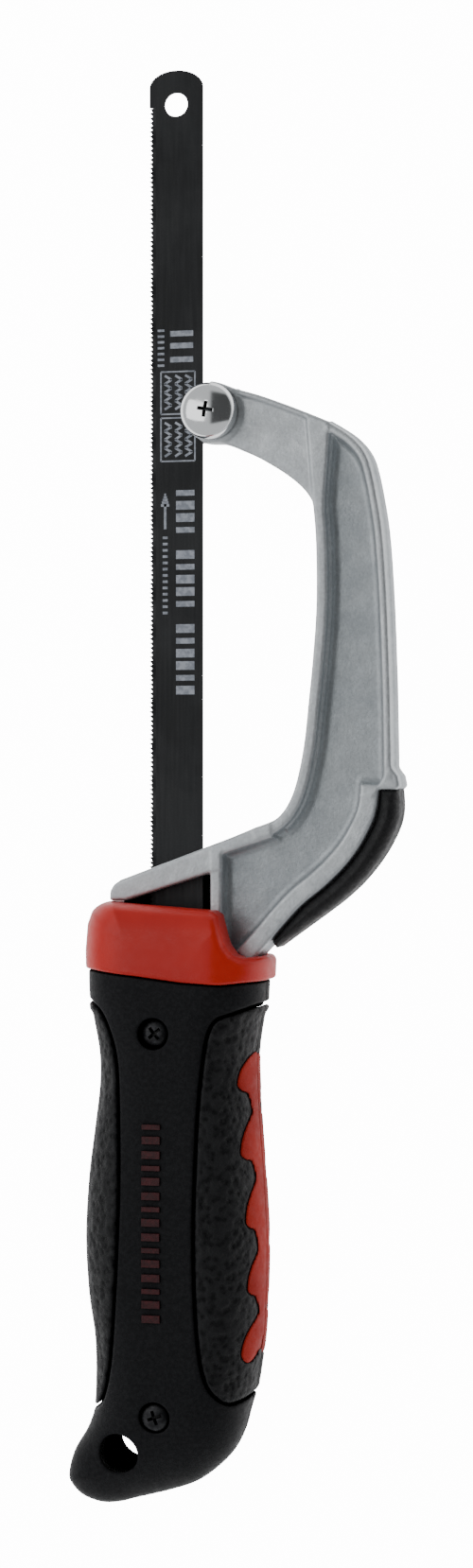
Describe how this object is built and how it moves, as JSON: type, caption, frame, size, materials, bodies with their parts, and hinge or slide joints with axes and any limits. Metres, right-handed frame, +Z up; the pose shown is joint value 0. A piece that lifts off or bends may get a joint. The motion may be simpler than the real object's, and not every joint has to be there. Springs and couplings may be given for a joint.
{
  "type": "mini hacksaw",
  "caption": "Close-quarter hacksaw with a cast C-frame, a clamped blade and a two-shell rubber-gripped handle.",
  "frame": {"origin": "on the resting face, the flat rear of the collar, under the blade's centreline at the middle of the collar", "axes": "+Y along the blade towards its tip, +X from the teeth towards the spine of the frame, +Z up, from the face the saw lies on to the face that carries the screws"},
  "size_m": [0.0786, 0.3319, 0.0308],
  "materials": {
    "cast_aluminium": "satin cast",
    "black_blade_steel": "satin black",
    "chrome": "polished",
    "zinc_steel": "zinc plated",
    "red_plastic": "satin",
    "red_rubber": "matt",
    "black_plastic": "satin",
    "black_rubber": "matt textured",
    "black_screw": "black oxide"
  },
  "bodies": {
    "saw": {"frame": "cast_aluminium", "collar": "red_plastic", "blade_guide": "black_plastic", "thumb_rest": "black_rubber", "handle_screw_upper": "black_screw", "handle_screw_lower": "black_screw", "handle_shell_front": "black_plastic", "handle_shell_rear": "black_plastic", "finger_grip_front": "black_rubber", "finger_grip_rear": "black_rubber", "palm_grip_front": "black_rubber", "palm_grip_rear": "black_rubber", "palm_inlay_front": "red_rubber", "palm_inlay_rear": "red_rubber"},
    "blade": {"blade": "black_blade_steel"},
    "clamp_screw": {"clamp_screw": "chrome"},
    "clamp_plate": {"clamp_plate": "zinc_steel"}
  },
  "joints": [
    {"name": "blade_slide", "type": "slide", "parent": "saw", "child": "blade", "axis": [0, 1, 0], "range_m": [-0.04, 0.03]},
    {"name": "clamp_turn", "type": "hinge", "parent": "saw", "child": "clamp_screw", "pos_m": [0.0096, 0.1223, 0.0154], "axis": [0, 0, 1], "range_deg": [0, 720]},
    {"name": "clamp_plate_travel", "type": "slide", "parent": "saw", "child": "clamp_plate", "axis": [0, 0, -1], "range_m": [0, 0.0016]}
  ],
  "couplings": [
    {"joint": "clamp_turn", "follows": "clamp_plate_travel", "rad_per_m": 7854}
  ]
}
